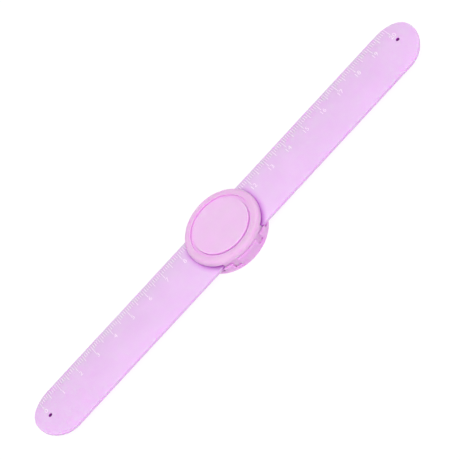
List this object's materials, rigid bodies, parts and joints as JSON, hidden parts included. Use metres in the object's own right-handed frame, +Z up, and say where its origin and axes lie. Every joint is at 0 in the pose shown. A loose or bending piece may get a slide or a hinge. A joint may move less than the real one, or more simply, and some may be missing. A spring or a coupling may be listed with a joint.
{
  "type": "slap bracelet",
  "caption": "Slap bracelet lying straight: arched silicone band over a steel spring strip, round ends, ruler along an edge, run through a round plastic case.",
  "frame": {"origin": "on the surface that the case stands on, under the middle of the band", "axes": "+X along the band, +Y towards the edge with the ruler, +Z up, out of the band's outer face"},
  "size_m": [0.2146, 0.0344, 0.0093],
  "materials": {
    "band_silicone": "satin lilac silicone",
    "strip_steel": "dark spring steel",
    "base_plastic": "soft gloss lilac plastic",
    "cap_plastic": "soft gloss pink lilac plastic",
    "disc_plastic": "satin pink lilac plastic",
    "ruler_ink": "pale printed ink"
  },
  "bodies": {
    "root": {"band": "band_silicone", "spring_strip": "strip_steel", "case_base": "base_plastic", "case_cap": "cap_plastic", "case_disc": "disc_plastic"}
  },
  "joints": []
}
